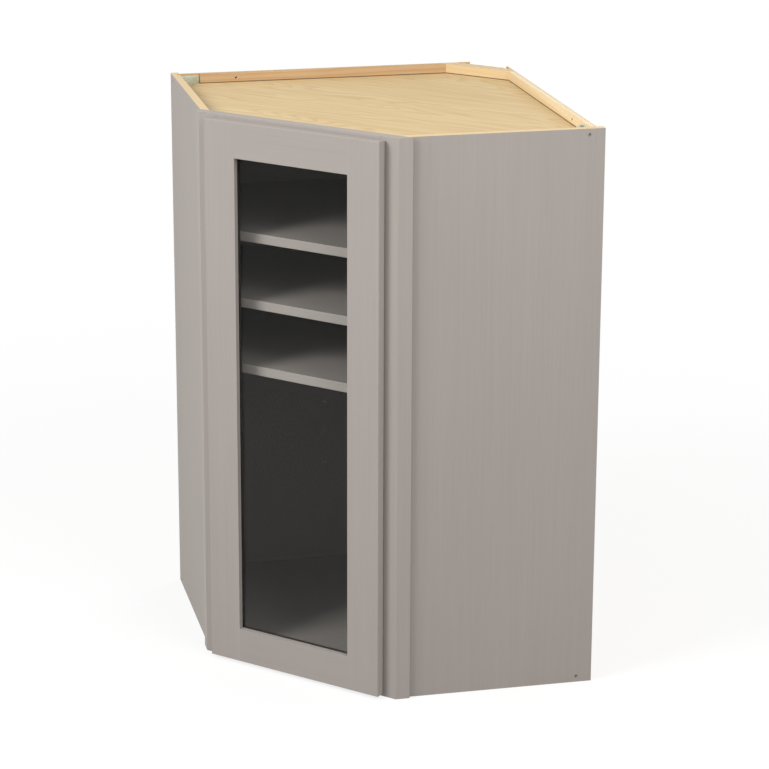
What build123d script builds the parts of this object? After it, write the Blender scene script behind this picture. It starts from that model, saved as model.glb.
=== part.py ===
from build123d import *
from math import cos, radians, sin, sqrt
import os

# Corner wall cabinet with one framed glass door, in millimetres.
# Plan points are given as (distance from the left wall, distance from the back wall).
# The carcass is symmetric about the diagonal through the room corner.

# Overall sizes
width = 685.8                 # along each wall, face frame included
side_depth = 381.0            # from a wall to the front corner of the face frame
height = 1066.8

# Carcass
panel_thickness = 15.0
panel_recess = 19.05          # top and bottom panels lie this far inside the rims
back_thickness = 12.0
back_recess = 12.7            # scribe space behind the backs
back_tongue = 3.2             # what the rabbet for the top and bottom panels leaves
housing_depth = 5.0           # grooves in the end panels
corner_cut = 75.0             # backs stop this far from the room corner
corner_board_sum = 114.9      # both wall distances of the corner board's outer face, added
corner_nailer_sum = 151.4     # the same for the inner face of the corner nailer
nailer_start_gap = 39.45      # left nailers stop short of the end panel for the brace
hanging_hole_from_end = 110.45  # from the end panel's inner face
hanging_hole_from_rim = 9.3
hanging_hole_radius = 2.1

# Face frame
frame_thickness = 19.05
frame_overhang = 6.35         # past the outer faces of the end panels
frame_stile = 38.1
frame_rail = 38.1
frame_tenon_length = 12.7
frame_tenon_thickness = 6.35
frame_tenon_shoulder = 6.35

# Door
door_side_reveal = 26.53      # face frame left in view beside the door
door_end_reveal = 6.35        # and above and below it
door_thickness = 19.05
door_gap = 2.5                # between the door's back and the frame's front
door_member = 66.7            # width of stiles and rails
door_lip = 9.7                # front lip that holds the glass
rabbet_width = 9.0
door_edge_radius = 1.0
door_back_edge_radius = 1.5
door_tenon_length = 25.0
door_tenon_thickness = 6.35
door_tenon_height = 42.0
glass_thickness = 4.0
glass_clearance = 1.0
bumper_radius = 4.5
bumper_stand_off = 0.3
bumper_chamfer = 0.8
bumper_inset = 8.0            # from the door's latch-side edge
bumper_from_end = 40.0

# Shelves and their pins
shelf_thickness = 18.0
shelf_clearance = 1.5
shelf_setback = 12.0          # behind the back of the face frame
pin_radius = 2.5
pin_hole_radius = 2.55
pin_hole_depth = 10.0
pin_length = 18.0
pin_seat = 9.5                # how much of a pin sits in its hole
pin_pitch = 64.0
first_pin_level = 247.0
pin_rows = 10
shelf_rows = (5, 7, 9)        # pin rows that carry the three shelves
back_pin_column = 375.4       # from the other wall
end_pin_column = 300.0        # from the wall the end panel stands against

# Corner braces
brace_height = 15.0
brace_from_rim = 4.0
brace_long_leg = 38.5         # along the back
brace_short_leg = 30.0        # along the end panel
brace_end = 6.0
brace_wall = 2.2
brace_floor = 3.0
brace_boss_half = 4.0         # screw boss in the brace's pocket
brace_boss_length = 10.0
brace_screw_from_wall = 29.5
brace_screw_radius = 1.7
brace_screw_length = 22.0
brace_screw_head_radius = 3.2
brace_screw_head_sink = 2.0
brace_screw_head_height = 2.2

# Concealed hinges, all sizes from the hinge pivot or the cup's centre
hinge_from_end = 106.0        # from the cabinet's underside and its top
cup_from_edge = 20.5
cup_radius = 17.5
cup_wall = 1.0
cup_depth = 13.5
cup_flange_thickness = 1.2
cup_flange_width = 24.0
cup_flange_height = 62.0
cup_flange_corner = 5.0
cup_screw_spacing = 46.0
pivot_from_edge = 7.5
pivot_from_back = 9.5
hinge_pin_radius = 1.25
hinge_pin_clearance = 0.08
eye_radius = 2.4
arm_thickness = 2.0
arm_half_width = 5.0
arm_reach = 13.3              # from the pivot to the gooseneck's leg
arm_tilt = 5.0                # degrees, lets the door open past square
arm_foot_depth = 9.5          # from the frame's front to the foot
arm_corner_radius = 2.5
arm_plate_thickness = 2.0
arm_plate_depth = 15.0
arm_plate_height = 48.0
arm_plate_start = 2.0
arm_screw_spacing = 32.0
cheek_thickness = 2.0
cheek_gap = 0.5
cheek_half_width = 3.0
screw_radius = 1.7
screw_length = 13.0
screw_head_radius = 3.2
screw_head_height = 1.6
cup_screw_length = 11.0
drill_clearance = 0.05
small_round_sides = 12        # pins, screws and their holes are drawn with few sides

# Derived positions
half = width / 2
root_two = sqrt(2)
frame_front_sum = width + side_depth
frame_back_sum = frame_front_sum - frame_thickness * root_two
end_outer = width - frame_overhang
end_inner = end_outer - panel_thickness
back_inner = back_recess + back_thickness
tongue_inner = back_recess + back_tongue
corner_inner_sum = corner_board_sum + back_thickness * root_two
corner_tongue_sum = corner_board_sum + back_tongue * root_two
top_level = height - panel_recess - panel_thickness
frame_half = (width - side_depth) / root_two
frame_inner = frame_half - frame_stile
hanging_hole_from_wall = end_inner - hanging_hole_from_end
door_half = frame_half - door_side_reveal
door_bottom = door_end_reveal
door_top = height - door_end_reveal
door_back = -door_gap
door_front = -door_gap - door_thickness
glass_half = door_half - door_member
glass_bottom = door_bottom + door_member
glass_top = door_top - door_member
glass_front = door_front + door_lip
bead_front = glass_front + glass_thickness
cup_centre = -door_half + cup_from_edge
pivot_across = -door_half + pivot_from_edge
pivot_out = door_back - pivot_from_back
hinge_levels = (hinge_from_end, height / 2, height - hinge_from_end)


def at(from_left_wall, from_back_wall):
    return (-half + from_left_wall, half - from_back_wall)


def mirrored(outline):
    return [(b, a) for a, b in outline]


def plan(outline, level=0.0, left=False):
    points = mirrored(outline) if left else outline
    with BuildSketch(Plane.XY.offset(level)) as face:
        with BuildLine():
            Polyline(*[at(a, b) for a, b in points], close=True)
        make_face()
    return face.sketch


def front(level=0.0):
    # Along the face frame, then inwards from its front face
    return Plane(
        origin=(*at(frame_front_sum / 2, frame_front_sum / 2), level),
        x_dir=(1, 1, 0),
        z_dir=(0, 0, 1),
    )


def front_box(across, inwards, levels):
    # Block between two distances across, two inwards and two levels
    with BuildSketch(front(levels[0])) as face:
        with Locations(((across[0] + across[1]) / 2, (inwards[0] + inwards[1]) / 2)):
            Rectangle(abs(across[1] - across[0]), abs(inwards[1] - inwards[0]))
    return extrude(face.sketch, amount=levels[1] - levels[0], mode=Mode.PRIVATE)


def on_back(along, off_wall, level, left=False):
    # Plane on a face parallel to a room wall, looking into the cabinet
    if left:
        return Plane(origin=(*at(off_wall, along), level), x_dir=(0, 0, 1), z_dir=(1, 0, 0))
    return Plane(origin=(*at(along, off_wall), level), x_dir=(0, 0, 1), z_dir=(0, -1, 0))


def on_end(from_wall, off_wall, level, left=False):
    # Plane on a face of an end panel, looking into the cabinet
    if left:
        return Plane(origin=(*at(from_wall, off_wall), level), x_dir=(0, 0, 1), z_dir=(0, 1, 0))
    return Plane(origin=(*at(off_wall, from_wall), level), x_dir=(0, 0, 1), z_dir=(-1, 0, 0))


def cup_plane(level):
    # On the door's back at a cup's centre, x up, looking into the door
    return Plane(
        origin=front(level).from_local_coords((cup_centre, door_back, 0)),
        x_dir=(0, 0, 1),
        z_dir=-front().y_dir,
    )


def arm_plate_plane(level):
    # On the plate of a hinge arm, x up, looking across the opening
    return Plane(
        origin=front(level).from_local_coords(
            (-frame_inner + arm_plate_thickness, arm_foot_depth, 0)
        ),
        x_dir=(0, 0, 1),
        z_dir=front().x_dir,
    )


def small_rounds(plane, radius, length, spacing=1.0, count=1):
    # Row of screws, pins or holes up a plane, each along its normal
    with BuildSketch(plane) as face:
        with GridLocations(spacing, 1, count, 1):
            RegularPolygon(radius, small_round_sides)
    return extrude(face.sketch, amount=length, mode=Mode.PRIVATE)


pin_middle = first_pin_level + pin_pitch * (pin_rows - 1) / 2
rims = (hanging_hole_from_rim, height - hanging_hole_from_rim)
brace_middles = (
    brace_from_rim + brace_height / 2,
    height - brace_from_rim - brace_height / 2,
)
nailer_levels = (0.0, height - panel_recess)
deck_levels = (panel_recess, top_level)
inward = Axis((0, 0, 0), front().y_dir)
from_face = (Align.CENTER, Align.CENTER, Align.MIN)

parts = {}

# End panels: mitred to the face frame, housed for the back, top and bottom
end_outline = [
    (end_inner, 0),
    (end_outer, 0),
    (end_outer, frame_back_sum - end_outer),
    (end_inner, frame_back_sum - end_inner),
]
back_groove = [
    (end_inner, back_recess),
    (end_inner + housing_depth, back_recess),
    (end_inner + housing_depth, back_inner),
    (end_inner, back_inner),
]
deck_groove = [
    (end_inner, tongue_inner),
    (end_inner + housing_depth, tongue_inner),
    (end_inner + housing_depth, frame_back_sum - end_inner - housing_depth),
    (end_inner, frame_back_sum - end_inner),
]
for side, left in (("right", False), ("left", True)):
    with BuildPart() as end_panel:
        extrude(plan(end_outline, left=left), amount=height)
        extrude(plan(back_groove, left=left), amount=height, mode=Mode.SUBTRACT)
        for level in deck_levels:
            extrude(plan(deck_groove, level, left), amount=panel_thickness, mode=Mode.SUBTRACT)
        pin_face = on_end(end_pin_column, end_inner, pin_middle, left)
        pin_holes = small_rounds(pin_face, pin_hole_radius, -pin_hole_depth, pin_pitch, pin_rows)
        add(pin_holes, mode=Mode.SUBTRACT)
        for level in brace_middles:
            outer_face = on_end(brace_screw_from_wall, end_outer, level, left)
            for radius, depth in (
                (brace_screw_head_radius, brace_screw_head_sink + brace_screw_head_height),
                (brace_screw_radius, panel_thickness),
            ):
                hole = small_rounds(outer_face, radius + drill_clearance, depth)
                add(hole, mode=Mode.SUBTRACT)
    parts[side + "_end_panel"] = end_panel.part

# Backs: rabbeted at both ends for the top and bottom panels
back_outline = [
    (corner_cut, back_recess),
    (end_inner + housing_depth, back_recess),
    (end_inner + housing_depth, back_inner),
    (corner_cut, back_inner),
]
back_rabbet = [
    (corner_cut, tongue_inner),
    (end_inner + housing_depth, tongue_inner),
    (end_inner + housing_depth, back_inner),
    (corner_cut, back_inner),
]
for side, left in (("right", False), ("left", True)):
    with BuildPart() as back_panel:
        extrude(plan(back_outline, left=left), amount=height)
        for level in (0.0, top_level):
            extrude(
                plan(back_rabbet, level, left),
                amount=panel_recess + panel_thickness,
                mode=Mode.SUBTRACT,
            )
        pin_face = on_back(back_pin_column, back_inner, pin_middle, left)
        pin_holes = small_rounds(pin_face, pin_hole_radius, -pin_hole_depth, pin_pitch, pin_rows)
        add(pin_holes, mode=Mode.SUBTRACT)
        for level in rims:
            with Locations(on_back(hanging_hole_from_wall, tongue_inner, level, left)):
                Hole(hanging_hole_radius, depth=back_tongue)
    parts[side + "_back_panel"] = back_panel.part

# Board across the room corner, with mitred ends between the backs
corner_outline = [
    (back_inner, corner_board_sum - back_inner),
    (back_inner, corner_inner_sum - back_inner),
    (corner_inner_sum - back_inner, back_inner),
    (corner_board_sum - back_inner, back_inner),
]
corner_rabbet = [
    (back_inner, corner_tongue_sum - back_inner),
    (back_inner, corner_inner_sum - back_inner),
    (corner_inner_sum - back_inner, back_inner),
    (corner_tongue_sum - back_inner, back_inner),
]
with BuildPart() as corner_board:
    extrude(plan(corner_outline), amount=height)
    for level in (0.0, top_level):
        extrude(
            plan(corner_rabbet, level),
            amount=panel_recess + panel_thickness,
            mode=Mode.SUBTRACT,
        )
parts["corner_back_board"] = corner_board.part

# Top and bottom panels
deck_outer = end_inner + housing_depth
deck_outline = [
    (tongue_inner, corner_tongue_sum - tongue_inner),
    (tongue_inner, deck_outer),
    (frame_back_sum - deck_outer, deck_outer),
    (deck_outer, frame_back_sum - deck_outer),
    (deck_outer, tongue_inner),
    (corner_tongue_sum - tongue_inner, tongue_inner),
]
for name, level in (("bottom_panel", panel_recess), ("top_panel", top_level)):
    with BuildPart() as deck:
        extrude(plan(deck_outline, level), amount=panel_thickness)
    parts[name] = deck.part

# Nailers on the backs, above the top panel and below the bottom panel
nailer_outline = [
    (corner_nailer_sum - tongue_inner, tongue_inner),
    (end_inner, tongue_inner),
    (end_inner, back_inner),
    (corner_nailer_sum - back_inner, back_inner),
]
short_nailer_outline = [
    (corner_nailer_sum - tongue_inner, tongue_inner),
    (end_inner - nailer_start_gap, tongue_inner),
    (end_inner - nailer_start_gap, back_inner),
    (corner_nailer_sum - back_inner, back_inner),
]
corner_nailer_outline = [
    (tongue_inner, corner_tongue_sum - tongue_inner),
    (tongue_inner, corner_nailer_sum - tongue_inner),
    (corner_nailer_sum - tongue_inner, tongue_inner),
    (corner_tongue_sum - tongue_inner, tongue_inner),
]
for place, level, rim in zip(("bottom", "top"), nailer_levels, rims):
    for side, left in (("right", False), ("left", True)):
        outline = short_nailer_outline if left else nailer_outline
        with BuildPart() as nailer:
            extrude(plan(outline, level, left), amount=panel_recess)
            with Locations(on_back(hanging_hole_from_wall, back_inner, rim, left)):
                Hole(hanging_hole_radius, depth=back_thickness)
        parts[place + "_" + side + "_nailer"] = nailer.part
    with BuildPart() as corner_nailer:
        extrude(plan(corner_nailer_outline, level), amount=panel_recess)
    parts[place + "_corner_nailer"] = corner_nailer.part

# Face frame: stiles with 45 degree outer edges, rails tenoned between them
tenon_inner = frame_inner + frame_tenon_length
tenon_front = (frame_thickness - frame_tenon_thickness) / 2
tenon_back = tenon_front + frame_tenon_thickness
rail_levels = {"bottom": (0.0, frame_rail), "top": (height - frame_rail, height)}
tenon_levels = {
    place: (levels[0] + frame_tenon_shoulder, levels[1] - frame_tenon_shoulder)
    for place, levels in rail_levels.items()
}
for side, sign in (("left", -1), ("right", 1)):
    with BuildPart() as stile:
        with BuildSketch(front()):
            with BuildLine():
                Polyline(
                    (sign * frame_inner, 0),
                    (sign * frame_half, 0),
                    (sign * (frame_half + frame_thickness), frame_thickness),
                    (sign * frame_inner, frame_thickness),
                    close=True,
                )
            make_face()
        extrude(amount=height)
        for levels in tenon_levels.values():
            add(
                front_box(
                    (sign * frame_inner, sign * tenon_inner),
                    (tenon_front, tenon_back),
                    levels,
                ),
                mode=Mode.SUBTRACT,
            )
        if side == "left":
            for level in hinge_levels:
                pilots = small_rounds(
                    arm_plate_plane(level),
                    screw_radius + drill_clearance,
                    -screw_length,
                    arm_screw_spacing,
                    2,
                )
                add(pilots, mode=Mode.SUBTRACT)
    parts["frame_" + side + "_stile"] = stile.part

for place, levels in rail_levels.items():
    with BuildPart() as rail:
        add(front_box((-frame_inner, frame_inner), (0, frame_thickness), levels))
        add(front_box((-tenon_inner, tenon_inner), (tenon_front, tenon_back), tenon_levels[place]))
    parts["frame_" + place + "_rail"] = rail.part

# Shelves, cut back from the walls, the corner board and the face frame
shelf_back = back_inner + shelf_clearance
shelf_end = end_inner - shelf_clearance
shelf_corner_sum = corner_inner_sum + shelf_clearance * root_two
shelf_front_sum = frame_back_sum - shelf_setback * root_two
shelf_outline = [
    (shelf_back, shelf_corner_sum - shelf_back),
    (shelf_back, shelf_end),
    (shelf_front_sum - shelf_end, shelf_end),
    (shelf_end, shelf_front_sum - shelf_end),
    (shelf_end, shelf_back),
    (shelf_corner_sum - shelf_back, shelf_back),
]
pin_levels = [first_pin_level + pin_pitch * row for row in shelf_rows]
for name, level in zip(("lower_shelf", "middle_shelf", "upper_shelf"), pin_levels):
    with BuildPart() as shelf:
        extrude(plan(shelf_outline, level + pin_radius), amount=shelf_thickness)
    parts[name] = shelf.part

with BuildPart() as shelf_pins:
    for level in pin_levels:
        for left in (False, True):
            for plane in (
                on_back(back_pin_column, back_inner, level, left),
                on_end(end_pin_column, end_inner, level, left),
            ):
                add(small_rounds(plane.offset(-pin_seat), pin_radius, pin_length))
parts["shelf_pins"] = shelf_pins.part

# Plastic braces in the corners between the backs and the end panels, hollow on the side
# away from the cabinet's middle, with a boss for the screw
brace_levels = (
    (brace_from_rim, 0.0),
    (height - brace_from_rim - brace_height, brace_floor),
)
with BuildPart() as braces:
    for left in (False, True):
        seat = tongue_inner if left else back_inner
        brace_outline = [
            (end_inner, seat),
            (end_inner - brace_long_leg, seat),
            (end_inner - brace_long_leg, seat + brace_end),
            (end_inner - brace_end, seat + brace_short_leg),
            (end_inner, seat + brace_short_leg),
        ]
        boss_outline = [
            (end_inner, brace_screw_from_wall - brace_boss_half),
            (end_inner, brace_screw_from_wall + brace_boss_half),
            (end_inner - brace_boss_length, brace_screw_from_wall + brace_boss_half),
            (end_inner - brace_boss_length, brace_screw_from_wall - brace_boss_half),
        ]
        for level, pocket_start in brace_levels:
            extrude(plan(brace_outline, level, left), amount=brace_height)
            with BuildSketch(Plane.XY.offset(level + pocket_start)) as pocket:
                add(plan(brace_outline, 0, left))
                offset(amount=-brace_wall, kind=Kind.INTERSECTION, mode=Mode.REPLACE)
                add(plan(boss_outline, 0, left), mode=Mode.SUBTRACT)
            extrude(amount=brace_height - brace_floor, mode=Mode.SUBTRACT)
        for level in brace_middles:
            pilot = small_rounds(
                on_end(brace_screw_from_wall, end_inner, level, left),
                brace_screw_radius + drill_clearance,
                brace_boss_length,
            )
            add(pilot, mode=Mode.SUBTRACT)
parts["corner_braces"] = braces.part

with BuildPart() as brace_screws:
    for left in (False, True):
        for level in brace_middles:
            outer_face = on_end(brace_screw_from_wall, end_outer, level, left)
            head_seat = outer_face.offset(brace_screw_head_sink)
            add(small_rounds(head_seat, brace_screw_head_radius, brace_screw_head_height))
            add(small_rounds(head_seat, brace_screw_radius, brace_screw_length))
parts["brace_screws"] = brace_screws.part

# Door: square-lipped frame, rabbeted behind for the glass
with BuildPart() as door_blank:
    add(front_box((-door_half, door_half), (door_front, door_back), (door_bottom, door_top)))
    fillet(door_blank.faces().sort_by(inward)[0].edges(), radius=door_edge_radius)
    fillet(door_blank.faces().sort_by(inward)[-1].edges(), radius=door_back_edge_radius)
rabbet_half = glass_half + rabbet_width
rabbet_bottom = glass_bottom - rabbet_width
rabbet_top = glass_top + rabbet_width
door_tenon_half = glass_half + door_tenon_length
door_middle = (door_front + door_back) / 2
door_tenon_inwards = (
    door_middle - door_tenon_thickness / 2,
    door_middle + door_tenon_thickness / 2,
)
lower_tenon_middle = (door_bottom + rabbet_bottom) / 2
door_tenon_levels = {
    "bottom": (
        lower_tenon_middle - door_tenon_height / 2,
        lower_tenon_middle + door_tenon_height / 2,
    ),
    "top": (
        height - lower_tenon_middle - door_tenon_height / 2,
        height - lower_tenon_middle + door_tenon_height / 2,
    ),
}
door_rail_levels = {"bottom": (door_bottom, glass_bottom), "top": (glass_top, door_top)}
rabbet_block = front_box(
    (-rabbet_half, rabbet_half),
    (glass_front, door_back),
    (rabbet_bottom, rabbet_top),
)

for side, sign in (("hinge", -1), ("latch", 1)):
    with BuildPart() as stile:
        add(
            front_box(
                (sign * glass_half, sign * door_half),
                (door_front, door_back),
                (door_bottom, door_top),
            )
        )
        add(door_blank.part, mode=Mode.INTERSECT)
        add(rabbet_block, mode=Mode.SUBTRACT)
        for levels in door_tenon_levels.values():
            add(
                front_box((sign * glass_half, sign * door_tenon_half), door_tenon_inwards, levels),
                mode=Mode.SUBTRACT,
            )
        if side == "hinge":
            for level in hinge_levels:
                with Locations(cup_plane(level)):
                    Cylinder(
                        cup_radius + drill_clearance,
                        cup_depth + drill_clearance,
                        align=from_face,
                        mode=Mode.SUBTRACT,
                    )
                pilots = small_rounds(
                    cup_plane(level),
                    screw_radius + drill_clearance,
                    cup_screw_length,
                    cup_screw_spacing,
                    2,
                )
                add(pilots, mode=Mode.SUBTRACT)
    parts["door_" + side + "_stile"] = stile.part

for place, levels in door_rail_levels.items():
    with BuildPart() as rail:
        add(front_box((-glass_half, glass_half), (door_front, door_back), levels))
        add(door_blank.part, mode=Mode.INTERSECT)
        add(rabbet_block, mode=Mode.SUBTRACT)
        add(
            front_box(
                (-door_tenon_half, door_tenon_half),
                door_tenon_inwards,
                door_tenon_levels[place],
            )
        )
    parts["door_" + place + "_rail"] = rail.part

with BuildPart() as glass:
    add(
        front_box(
            (-rabbet_half + glass_clearance, rabbet_half - glass_clearance),
            (glass_front, bead_front),
            (rabbet_bottom + glass_clearance, rabbet_top - glass_clearance),
        )
    )
parts["door_glass"] = glass.part

with BuildPart() as side_beads:
    for sign in (-1, 1):
        add(
            front_box(
                (sign * glass_half, sign * rabbet_half),
                (bead_front, door_back),
                (rabbet_bottom, rabbet_top),
            )
        )
parts["side_glazing_beads"] = side_beads.part

with BuildPart() as end_beads:
    for levels in ((rabbet_bottom, glass_bottom), (glass_top, rabbet_top)):
        add(front_box((-glass_half, glass_half), (bead_front, door_back), levels))
parts["end_glazing_beads"] = end_beads.part

bumper_thickness = door_gap - bumper_stand_off
with BuildPart() as bumpers:
    for level in (door_bottom + bumper_from_end, door_top - bumper_from_end):
        bumper_seat = Plane(
            origin=front(level).from_local_coords((door_half - bumper_inset, door_back, 0)),
            z_dir=front().y_dir,
        )
        with Locations(bumper_seat):
            Cylinder(bumper_radius, bumper_thickness, align=from_face)
    chamfer(bumpers.edges().group_by(inward)[-1], length=bumper_chamfer)
parts["door_bumpers"] = bumpers.part

# Hinge cups in the door, each with two cheeks that hold the pivot pin
with BuildPart() as cups:
    for level in hinge_levels:
        with Locations(cup_plane(level)):
            Cylinder(cup_radius, cup_depth, align=from_face)
        with BuildSketch(cup_plane(level)):
            RectangleRounded(cup_flange_height, cup_flange_width, cup_flange_corner)
            with GridLocations(cup_screw_spacing, 1, 2, 1):
                RegularPolygon(
                    screw_radius + drill_clearance,
                    small_round_sides,
                    mode=Mode.SUBTRACT,
                )
        extrude(amount=-cup_flange_thickness)
        with BuildSketch(cup_plane(level).offset(cup_depth - cup_wall)):
            Circle(cup_radius - cup_wall)
        extrude(
            amount=-(cup_depth - cup_wall + cup_flange_thickness),
            mode=Mode.SUBTRACT,
        )
        for sign in (-1, 1):
            cheek_near = level + sign * (arm_half_width + cheek_gap)
            cheek_far = cheek_near + sign * cheek_thickness
            add(
                front_box(
                    (pivot_across - cheek_half_width / 2, pivot_across + cheek_half_width),
                    (door_back - cup_depth + cup_wall / 2, pivot_out + cheek_half_width),
                    sorted((cheek_near, cheek_far)),
                )
            )
        with Locations(front(level).from_local_coords((pivot_across, pivot_out, 0))):
            Cylinder(
                hinge_pin_radius,
                2 * (arm_half_width + cheek_gap + cheek_thickness),
                mode=Mode.SUBTRACT,
            )
parts["hinge_cups"] = cups.part

with BuildPart() as hinge_pins:
    for level in hinge_levels:
        with Locations(front(level).from_local_coords((pivot_across, pivot_out, 0))):
            Cylinder(hinge_pin_radius, 2 * (arm_half_width + cheek_gap + cheek_thickness))
parts["hinge_pins"] = hinge_pins.part

with BuildPart() as cup_screws:
    for level in hinge_levels:
        head_seat = cup_plane(level).offset(-cup_flange_thickness)
        for radius, length in (
            (screw_radius, cup_screw_length),
            (screw_head_radius, -screw_head_height),
        ):
            add(small_rounds(head_seat, radius, length, cup_screw_spacing, 2))
parts["cup_screws"] = cup_screws.part

# Hinge arms on the face frame: an eye, a gooseneck round the cup's lip and a plate
leg_across = pivot_across + arm_reach
knee = (leg_across, pivot_out - arm_reach * sin(radians(arm_tilt)) / cos(radians(arm_tilt)))
with BuildPart() as arms:
    for level in hinge_levels:
        with BuildSketch(front(level - arm_half_width)):
            with BuildLine():
                FilletPolyline(
                    (pivot_across, pivot_out),
                    knee,
                    (leg_across, arm_foot_depth),
                    (-frame_inner + arm_plate_thickness / 2, arm_foot_depth),
                    radius=arm_corner_radius,
                )
                offset(amount=arm_thickness / 2, side=Side.BOTH)
            make_face()
            with Locations((pivot_across, pivot_out)):
                Circle(eye_radius)
                Circle(hinge_pin_radius + hinge_pin_clearance, mode=Mode.SUBTRACT)
        extrude(amount=2 * arm_half_width)
        add(
            front_box(
                (-frame_inner, -frame_inner + arm_plate_thickness),
                (arm_plate_start, arm_plate_start + arm_plate_depth),
                (level - arm_plate_height / 2, level + arm_plate_height / 2),
            )
        )
        screw_holes = small_rounds(
            arm_plate_plane(level),
            screw_radius + drill_clearance,
            -arm_plate_thickness,
            arm_screw_spacing,
            2,
        )
        add(screw_holes, mode=Mode.SUBTRACT)
parts["hinge_arms"] = arms.part

with BuildPart() as arm_screws:
    for level in hinge_levels:
        for radius, length in (
            (screw_radius, -screw_length),
            (screw_head_radius, screw_head_height),
        ):
            add(small_rounds(arm_plate_plane(level), radius, length, arm_screw_spacing, 2))
parts["hinge_arm_screws"] = arm_screws.part

for name, shape in parts.items():
    shape.label = name
os.makedirs("parts", exist_ok=True)
for name, shape in parts.items():
    export_step(shape, "parts/" + name + ".step")
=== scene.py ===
import math

import bmesh
import bpy
from mathutils import Matrix, Vector


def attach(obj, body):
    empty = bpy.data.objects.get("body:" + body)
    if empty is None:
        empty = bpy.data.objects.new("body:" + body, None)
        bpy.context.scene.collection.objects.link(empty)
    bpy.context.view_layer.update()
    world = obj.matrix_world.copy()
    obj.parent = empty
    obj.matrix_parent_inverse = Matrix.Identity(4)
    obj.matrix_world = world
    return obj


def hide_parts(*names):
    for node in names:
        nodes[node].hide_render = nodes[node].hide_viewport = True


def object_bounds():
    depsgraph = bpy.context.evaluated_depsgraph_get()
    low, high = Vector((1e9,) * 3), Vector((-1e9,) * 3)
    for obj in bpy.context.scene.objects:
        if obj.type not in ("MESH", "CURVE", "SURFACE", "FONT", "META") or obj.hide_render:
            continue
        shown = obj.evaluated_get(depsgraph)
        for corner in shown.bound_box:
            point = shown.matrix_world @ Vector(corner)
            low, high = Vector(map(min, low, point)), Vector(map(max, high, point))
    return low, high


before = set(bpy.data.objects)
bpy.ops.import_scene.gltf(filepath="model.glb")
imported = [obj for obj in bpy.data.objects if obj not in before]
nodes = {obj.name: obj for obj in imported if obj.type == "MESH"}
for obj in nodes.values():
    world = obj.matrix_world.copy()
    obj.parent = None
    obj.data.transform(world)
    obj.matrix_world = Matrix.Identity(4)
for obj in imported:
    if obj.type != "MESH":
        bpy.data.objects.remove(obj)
cad_low, cad_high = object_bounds()
bottom, top = cad_low.z, cad_high.z

MM = 0.001
SKIN = 0.15 * MM                     # how near a plane a point counts as on it
JOIN_DISTANCE = 0.005 * MM           # corners closer than this are one corner
SHARP = math.radians(35)             # edges that bend by more than this are eased
SMOOTH = math.radians(32)            # and those of small parts by less are shaded round
BOARD_FLAT = math.radians(0.5)       # triangles that bend by less than this are one face
SMALL_FLAT = math.radians(1)
TURN = math.radians(-45)             # the face frame and the door stand across the corner

# Directions in the row's axes. The room's walls lie at LEFT and BACK.
DIAGONAL = math.sqrt(0.5)
LEFT, RIGHT = (-1, 0, 0), (1, 0, 0)
FRONT, BACK = (0, -1, 0), (0, 1, 0)
DOWN, UP = (0, 0, -1), (0, 0, 1)
TO_CORNER = (-DIAGONAL, DIAGONAL, 0)
ALONG_FACE = (DIAGONAL, DIAGONAL, 0)

# sRGB colours, 0 to 255
PAINT = (172, 164, 158)
# the outside's paint darkened, as painted shade inside the cabinet
PAINT_IN_SHADE = (148, 143, 139)
# worn paint on the edges, lighter also as a painted highlight
PAINT_RUBBED_AND_LIT = (192, 184, 177)
# lighter than the outside's paint, as painted light on the shelves' front edges
SHELF_BAND_LIT = (178, 171, 166)
RABBET = (198, 158, 112)
PLY_PALE = (246, 226, 186)
PLY_DARK = (216, 182, 136)
HOLE_SHADE = (58, 40, 26)               # painted shade on the wall of a drilled hole
SEAM_SHADE = (62, 44, 28)                  # painted shade: the dark line where two boards meet
BRACE_PALE = (204, 208, 186)
BRACE_DEEP = (176, 184, 160)
BUMPER_PALE = (226, 226, 222)
BUMPER_DEEP = (206, 206, 200)
# dark vinyl, its darkness also painted shade in the glass rabbet
VINYL_AND_SHADE = (58, 56, 53)
NICKEL = (205, 200, 192)
ZINC = (196, 196, 198)
BLACK_STEEL = (38, 37, 36)
BLACK_STEEL_RUBBED = (82, 80, 77)
GLASS_TINT = (249, 249, 248)

# Woods: pale and dark colour, strength of the growth lines, their width and their swing in
# metres, strength of the fibres
WOODS = {
    "deck": ((232, 208, 162), (202, 168, 114), 0.26, 0.011, 0.32, 0.8),
    "back": ((232, 208, 162), (202, 168, 114), 0.3, 0.02, 0.3, 0.4),
    "light_maple": ((249, 229, 190), (233, 203, 157), 0.22, 0.009, 0.035, 0.5),
    "corner_maple": ((226, 200, 156), (204, 172, 124), 0.2, 0.009, 0.035, 0.5),
    "brown_strip": ((207, 173, 130), (166, 126, 84), 0.3, 0.009, 0.035, 0.5),
}

# Finish
PAINT_GLOSS = 0.25                   # specular level of the frame and the door
END_GLOSS = 0.14                     # of the end panels
MATTE_GLOSS = 0.15                   # of the shelves, the backs and the decks
PLAIN_GLOSS = 0.5                    # of all the rest
SHELF_ROUGHER = 0.25                 # added to the paint's roughness on the shelves
MATTE_ROUGHER = 0.4                  # and on the backs and the decks
END_INSIDE_ROUGHNESS = 0.8
CUT_ROUGHNESS = 0.72
BUMP_STRENGTH = 0.6
PAINT_RELIEF = 0.03                  # depths of the bumps, in millimetres
PLY_RELIEF = 0.05
SAWN_RELIEF = 0.06
METAL_RELIEF = 0.01
PLASTIC_RELIEF = 0.02
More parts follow.
